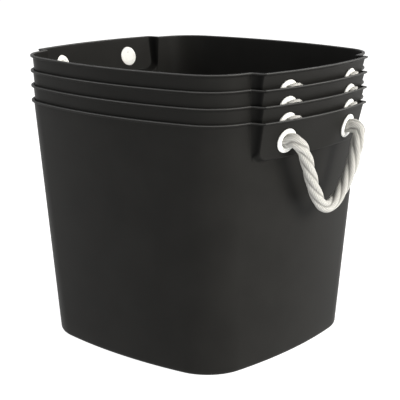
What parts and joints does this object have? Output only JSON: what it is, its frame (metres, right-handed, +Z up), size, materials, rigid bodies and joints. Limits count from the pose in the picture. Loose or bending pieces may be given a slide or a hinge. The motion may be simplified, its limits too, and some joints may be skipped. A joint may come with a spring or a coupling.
{
  "type": "nested storage bins with rope handles",
  "caption": "Stack of nested tapered plastic storage bins, rounded square in plan, with rope handles through grommets on two sides",
  "frame": {"origin": "centre of the lowest bin's base, on the surface it stands on", "axes": "+Z up and out of the open rims; +X and -X out through the two handle sides; +Y along a handle side"},
  "size_m": [0.3144, 0.2704, 0.273],
  "materials": {
    "charcoal_plastic": "fine matte moulded plastic, charcoal grey",
    "white_plastic": "smooth white moulded plastic",
    "cotton_rope": "twisted four-strand rope, off-white"
  },
  "bodies": {
    "bin_1": {"bin_1_shell": "charcoal_plastic", "bin_1_grommet_px_a": "white_plastic", "bin_1_plug_px_a": "white_plastic", "bin_1_grommet_px_b": "white_plastic", "bin_1_plug_px_b": "white_plastic", "bin_1_grommet_nx_a": "white_plastic", "bin_1_plug_nx_a": "white_plastic", "bin_1_grommet_nx_b": "white_plastic", "bin_1_plug_nx_b": "white_plastic"},
    "bin_2": {"bin_2_shell": "charcoal_plastic", "bin_2_grommet_px_a": "white_plastic", "bin_2_plug_px_a": "white_plastic", "bin_2_grommet_px_b": "white_plastic", "bin_2_plug_px_b": "white_plastic", "bin_2_rope_px": "cotton_rope", "bin_2_grommet_nx_a": "white_plastic", "bin_2_plug_nx_a": "white_plastic", "bin_2_grommet_nx_b": "white_plastic", "bin_2_plug_nx_b": "white_plastic", "bin_2_rope_nx": "cotton_rope"},
    "bin_3": {"bin_3_shell": "charcoal_plastic", "bin_3_grommet_px_a": "white_plastic", "bin_3_plug_px_a": "white_plastic", "bin_3_grommet_px_b": "white_plastic", "bin_3_plug_px_b": "white_plastic", "bin_3_rope_px": "cotton_rope", "bin_3_grommet_nx_a": "white_plastic", "bin_3_plug_nx_a": "white_plastic", "bin_3_grommet_nx_b": "white_plastic", "bin_3_plug_nx_b": "white_plastic", "bin_3_rope_nx": "cotton_rope"},
    "bin_4": {"bin_4_shell": "charcoal_plastic", "bin_4_grommet_px_a": "white_plastic", "bin_4_plug_px_a": "white_plastic", "bin_4_grommet_px_b": "white_plastic", "bin_4_plug_px_b": "white_plastic", "bin_4_rope_px": "cotton_rope", "bin_4_grommet_nx_a": "white_plastic", "bin_4_plug_nx_a": "white_plastic", "bin_4_grommet_nx_b": "white_plastic", "bin_4_plug_nx_b": "white_plastic", "bin_4_rope_nx": "cotton_rope"},
    "handle_px": {"bin_1_rope_px": "cotton_rope"},
    "handle_nx": {"bin_1_rope_nx": "cotton_rope"}
  },
  "joints": [
    {"name": "lift_bin_2", "type": "slide", "parent": "bin_1", "child": "bin_2", "axis": [0, 0, 1], "range_m": [0, 0.24]},
    {"name": "lift_bin_3", "type": "slide", "parent": "bin_2", "child": "bin_3", "axis": [0, 0, 1], "range_m": [0, 0.24]},
    {"name": "lift_bin_4", "type": "slide", "parent": "bin_3", "child": "bin_4", "axis": [0, 0, 1], "range_m": [0, 0.24]},
    {"name": "swing_handle_px", "type": "hinge", "parent": "bin_1", "child": "handle_px", "pos_m": [0.14653, 0, 0.2123], "axis": [0, -1, 0], "range_deg": [0, 135]},
    {"name": "swing_handle_nx", "type": "hinge", "parent": "bin_1", "child": "handle_nx", "pos_m": [-0.14653, 0, 0.2123], "axis": [0, 1, 0], "range_deg": [0, 135]}
  ]
}
